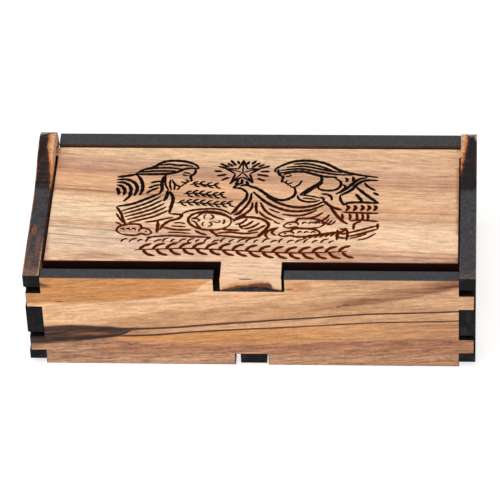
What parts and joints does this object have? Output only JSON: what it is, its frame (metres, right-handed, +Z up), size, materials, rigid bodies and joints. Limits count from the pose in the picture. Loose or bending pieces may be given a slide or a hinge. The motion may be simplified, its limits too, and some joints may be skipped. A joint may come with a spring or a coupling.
{
  "type": "hinged wooden keepsake box",
  "caption": "Small finger-jointed olive-wood box with a flush hinged lid that turns on its own ears between two humped side boards.",
  "frame": {"origin": "middle of the box's footprint, on the surface that it stands on", "axes": "+X along the front to the right, +Y from the front to the back, +Z up"},
  "size_m": [0.11, 0.0544, 0.033],
  "materials": {
    "front_wood": "sanded olive wood with golden and dark brown figure, charred cut edges",
    "wall_wood": "sanded olive wood, charred black-brown cut edges",
    "lid_wood": "light sanded olive wood with burnt engraving, charred cut edges"
  },
  "bodies": {
    "case": {"front_panel": "front_wood", "back_panel": "wall_wood", "left_side": "wall_wood", "right_side": "wall_wood", "floor_panel": "wall_wood"},
    "lid": {"lid": "lid_wood"}
  },
  "joints": [
    {"name": "lid_hinge", "type": "hinge", "parent": "case", "child": "lid", "pos_m": [0, 0.02005, 0.0266], "axis": [-1, 0, 0], "range_deg": [0, 108]}
  ]
}
